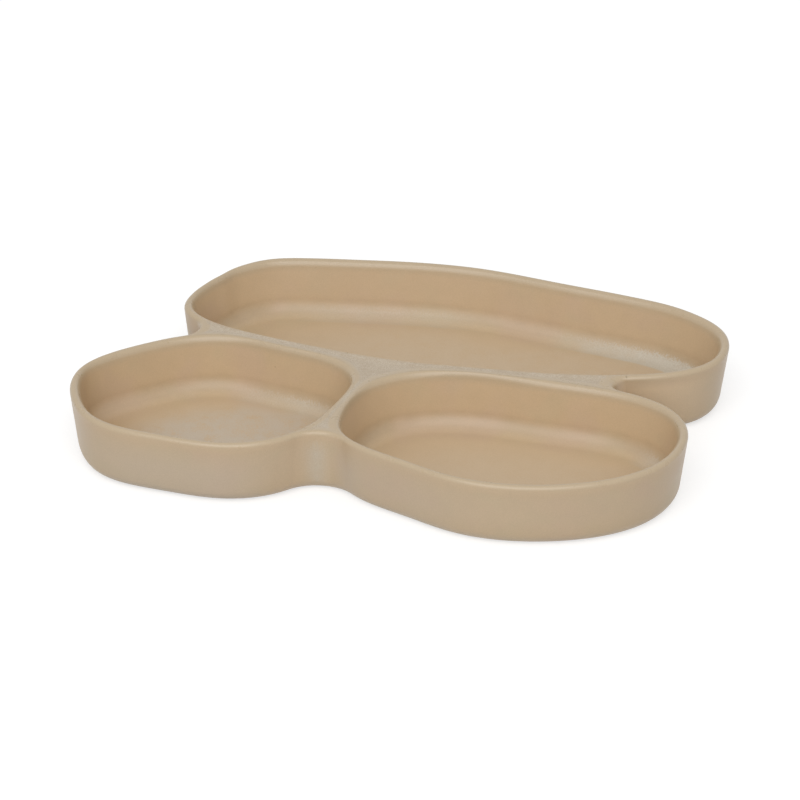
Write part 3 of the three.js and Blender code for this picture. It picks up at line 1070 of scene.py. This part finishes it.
    # Specks, dust and the bare underside
    cells = desk.node("ShaderNodeTexVoronoi", {"Vector": place, "Scale": SPECK_SCALE})
    chance = desk.node("ShaderNodeSeparateColor", {0: cells.outputs["Color"]}).outputs[0]
    near = desk.fall(cells.outputs["Distance"], SPECK_EDGE)
    speck = desk.mul(desk.mul(desk.rise(chance, SPECK_CHANCE), near), SPECK_STRENGTH)
    skin = desk.mix(speck, skin, linear(SPECK_BROWN))
    dusting = desk.mul(desk.sub(dust, 0.5), DUST_SHADE)
    graining = desk.add(desk.mul(grain_away, GRAIN_SHADE), desk.mul(blotches, BLOTCH_SHADE))
    shade = desk.add(desk.add(1.0, dusting), graining)
    skin = desk.node("ShaderNodeHueSaturation", {"Value": shade, "Color": skin}).outputs[0]
    clay = desk.fall(height, CLAY_TOP)
    skin = desk.mix(clay, skin, linear(BARE_CLAY))

    # Gloss and relief
    frosted = desk.mul(desk.math("MAXIMUM", deck, pooled_and_sheen), FROST_ROUGHNESS)
    dull = desk.add(desk.mul(blotches, BLOTCH_ROUGHNESS), frosted)
    dull = desk.add(desk.add(ROUGHNESS, dull), desk.mul(clay, CLAY_ROUGHNESS))
    lip_gloss = desk.mul(desk.rise(height, GLOSS_FOOT), desk.sub(1.0, deck))
    rough = desk.sub(dull, desk.mul(lip_gloss, LIP_SMOOTHNESS))
    relief = desk.add(peel, desk.mul(grain, GRAIN_RELIEF))
    inputs = {"Strength": RELIEF_STRENGTH, "Distance": RELIEF_DEPTH, "Height": relief}
    bump = desk.node("ShaderNodeBump", inputs)
    inputs = {"Base Color": skin, "Roughness": rough, "Normal": bump.outputs[0]}
    shader = desk.node("ShaderNodeBsdfPrincipled", inputs)
    desk.node("ShaderNodeOutputMaterial", {"Surface": shader.outputs[0]})
    return material


# Stage, light and camera


def seen_rays(desk):
    """One for a ray from the camera, a reflection or glass, nothing for a ray that carries light."""
    rays = desk.node("ShaderNodeLightPath").outputs
    shiny = desk.math("MAXIMUM", rays["Is Glossy Ray"], rays["Is Transmission Ray"])
    return desk.math("MAXIMUM", rays["Is Camera Ray"], shiny)


def make_table():
    material = bpy.data.materials.new("white_table")
    material.use_nodes = True
    material.node_tree.nodes.clear()
    desk = NodeDesk(material.node_tree)
    bounce = desk.node("ShaderNodeBsdfDiffuse", {"Color": grey(TABLE_BOUNCE)})
    shaded = desk.node("ShaderNodeBsdfDiffuse", {"Color": grey(TABLE_SHADED)})
    glow = desk.node("ShaderNodeEmission", {"Strength": TABLE_GLOW})
    white = desk.node("ShaderNodeAddShader", {0: shaded.outputs[0], 1: glow.outputs[0]})
    inputs = {0: seen_rays(desk), 1: bounce.outputs[0], 2: white.outputs[0]}
    chosen = desk.node("ShaderNodeMixShader", inputs)
    desk.node("ShaderNodeOutputMaterial", {"Surface": chosen.outputs[0]})
    mesh = bpy.data.meshes.new("table")
    signs = ((-1, -1), (1, -1), (1, 1), (-1, 1))
    corners = [(x * TABLE_HALF, y * TABLE_HALF, TABLE_LEVEL) for x, y in signs]
    mesh.from_pydata(corners, [], [(0, 1, 2, 3)])
    mesh.materials.append(material)
    put_in_scene("table", mesh)


def direction(azimuth, elevation):
    """Way from the dish at an elevation, and an azimuth counted from the front to the right."""
    turn, rise = math.radians(azimuth), math.radians(elevation)
    return Vector((math.sin(turn) * math.cos(rise), -math.cos(turn) * math.cos(rise), math.sin(rise)))


def point_at_dish(holder, way, distance):
    holder.location = Vector(CAMERA_AIM) + way * distance
    holder.rotation_euler = (-way).to_track_quat("-Z", "Y").to_euler()


def make_light():
    world = bpy.data.worlds.new("studio")
    bpy.context.scene.world = world
    world.use_nodes = True
    world.node_tree.nodes.clear()
    desk = NodeDesk(world.node_tree)
    sky = desk.node("ShaderNodeBackground", {"Strength": SKY_STRENGTH, "Color": grey(1.0)})
    white = desk.node("ShaderNodeBackground", {"Strength": 1.0, "Color": grey(1.0)})
    inputs = {0: seen_rays(desk), 1: sky.outputs[0], 2: white.outputs[0]}
    chosen = desk.node("ShaderNodeMixShader", inputs)
    desk.node("ShaderNodeOutputWorld", {"Surface": chosen.outputs[0]})
    lamp = bpy.data.lights.new("softbox", "AREA")
    lamp.shape = "SQUARE"
    lamp.size = KEY_SIZE
    lamp.energy = KEY_ENERGY
    point_at_dish(put_in_scene("softbox", lamp), direction(KEY_AZIMUTH, KEY_ELEVATION), KEY_DISTANCE)


def make_camera():
    camera = bpy.data.cameras.new("camera")
    camera.lens = CAMERA_LENS
    camera.sensor_width = CAMERA_SENSOR
    camera.clip_end = CAMERA_REACH
    holder = put_in_scene("camera", camera)
    point_at_dish(holder, direction(CAMERA_AZIMUTH, CAMERA_ELEVATION), CAMERA_DISTANCE)
    bpy.context.scene.camera = holder


make_camera()
make_light()
make_table()

glaze = sand_glaze()
bowl_tree = section_tree(glaze)
pieces = {name: make_bowl(name, bowl_tree) for name in BOWLS}
pieces["joining_web"] = make_web(glaze)
for node, piece in pieces.items():
    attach(piece, "root")
    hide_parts(node)

bpy.context.scene.view_settings.view_transform = "Standard"
bpy.context.view_layer.update()
